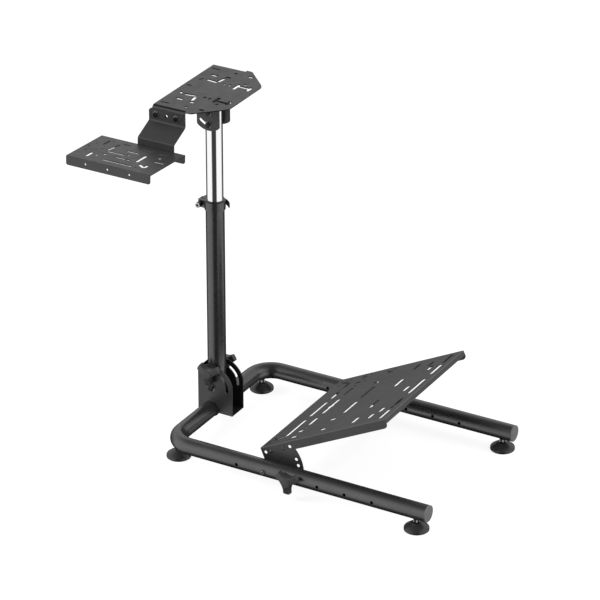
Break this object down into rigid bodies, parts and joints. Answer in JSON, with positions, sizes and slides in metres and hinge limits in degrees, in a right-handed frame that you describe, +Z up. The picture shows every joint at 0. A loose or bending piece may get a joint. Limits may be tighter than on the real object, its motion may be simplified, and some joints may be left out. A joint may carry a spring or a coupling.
{
  "type": "racing wheel stand",
  "caption": "Folding floor stand with a tilting slotted wheel plate on a height-adjustable mast, a side shifter plate and a tilting pedal plate between two legs.",
  "frame": {"origin": "on the floor, under the middle of the whole stand's footprint", "axes": "+Z up, +X forward (the way the driver faces, along the legs), +Y to the driver's left"},
  "size_m": [0.974, 0.677, 0.966],
  "materials": {
    "black_steel": "matte black powder coat",
    "black_plastic": "moulded, fine texture",
    "grey_plastic": "moulded, smooth",
    "zinc_steel": "zinc plated",
    "chrome": "polished"
  },
  "bodies": {
    "base": {"base_frame": "black_steel", "leg_cap_right": "grey_plastic", "leg_cap_left": "grey_plastic", "foot_pad_front_right": "black_plastic", "foot_pad_front_left": "black_plastic", "foot_pad_rear_right": "black_plastic", "foot_pad_rear_left": "black_plastic", "foot_stem_front_right": "zinc_steel", "foot_stem_front_left": "zinc_steel", "foot_stem_rear_right": "zinc_steel", "foot_stem_rear_left": "zinc_steel", "mast_bracket": "black_steel", "mast_pivot_bolt": "zinc_steel", "pedal_pivot_bolt_right": "zinc_steel", "pedal_pivot_bolt_left": "zinc_steel"},
    "mast": {"lower_tube": "black_steel", "guide_bush": "black_plastic", "clamp_collar": "black_steel", "clamp_pin": "zinc_steel", "mast_lock_bolt": "zinc_steel"},
    "post": {"chrome_tube": "chrome", "head_pivot_bolt": "zinc_steel", "head_lock_bolt": "zinc_steel"},
    "head": {"head_bracket": "black_steel", "wheel_plate": "black_steel", "shifter_arm": "black_steel", "arm_bolt_rear": "zinc_steel", "arm_bolt_front": "zinc_steel", "shifter_plate": "black_steel", "shifter_bolt_rear": "zinc_steel", "shifter_bolt_front": "zinc_steel"},
    "pedals": {"pedal_plate": "black_steel", "pedal_screw_low_right": "zinc_steel", "pedal_screw_low_left": "zinc_steel", "pedal_screw_high_right": "zinc_steel", "pedal_screw_high_left": "zinc_steel"},
    "lever": {"clamp_lever": "black_plastic"},
    "mast_knob_right": {"mast_knob_right": "black_plastic"},
    "mast_knob_left": {"mast_knob_left": "black_plastic"},
    "pedal_knob_right": {"pedal_knob_right": "black_plastic", "pedal_stud_right": "zinc_steel"},
    "pedal_knob_left": {"pedal_knob_left": "black_plastic", "pedal_stud_left": "zinc_steel"}
  },
  "joints": [
    {"name": "mast_fold", "type": "hinge", "parent": "base", "child": "mast", "pos_m": [-0.283, 0.04718, 0.116], "axis": [0, 1, 0], "range_deg": [0, 60]},
    {"name": "post_height", "type": "slide", "parent": "mast", "child": "post", "axis": [0, 0, 1], "range_m": [-0.18, 0.15]},
    {"name": "head_tilt", "type": "hinge", "parent": "post", "child": "head", "pos_m": [-0.283, 0.04718, 0.914], "axis": [0, -1, 0], "range_deg": [0, 45]},
    {"name": "pedal_tilt", "type": "hinge", "parent": "base", "child": "pedals", "pos_m": [0.013, 0.04718, 0.055], "axis": [0, 1, 0], "range_deg": [0, 25.5]},
    {"name": "lever_swing", "type": "hinge", "parent": "mast", "child": "lever", "pos_m": [-0.321, 0.06848, 0.6425], "axis": [0, 0, 1], "range_deg": [0, 100]},
    {"name": "mast_knob_turn_right", "type": "hinge", "parent": "mast", "child": "mast_knob_right", "pos_m": [-0.283, 0.00218, 0.164], "axis": [0, -1, 0], "range_deg": [0, 360]},
    {"name": "mast_knob_turn_left", "type": "hinge", "parent": "mast", "child": "mast_knob_left", "pos_m": [-0.283, 0.09218, 0.164], "axis": [0, 1, 0], "range_deg": [0, 360]},
    {"name": "pedal_knob_turn_right", "type": "hinge", "parent": "base", "child": "pedal_knob_right", "pos_m": [0.093, -0.23282, 0.055], "axis": [0, -1, 0], "range_deg": [0, 360]},
    {"name": "pedal_knob_turn_left", "type": "hinge", "parent": "base", "child": "pedal_knob_left", "pos_m": [0.093, 0.32718, 0.055], "axis": [0, 1, 0], "range_deg": [0, 360]}
  ]
}
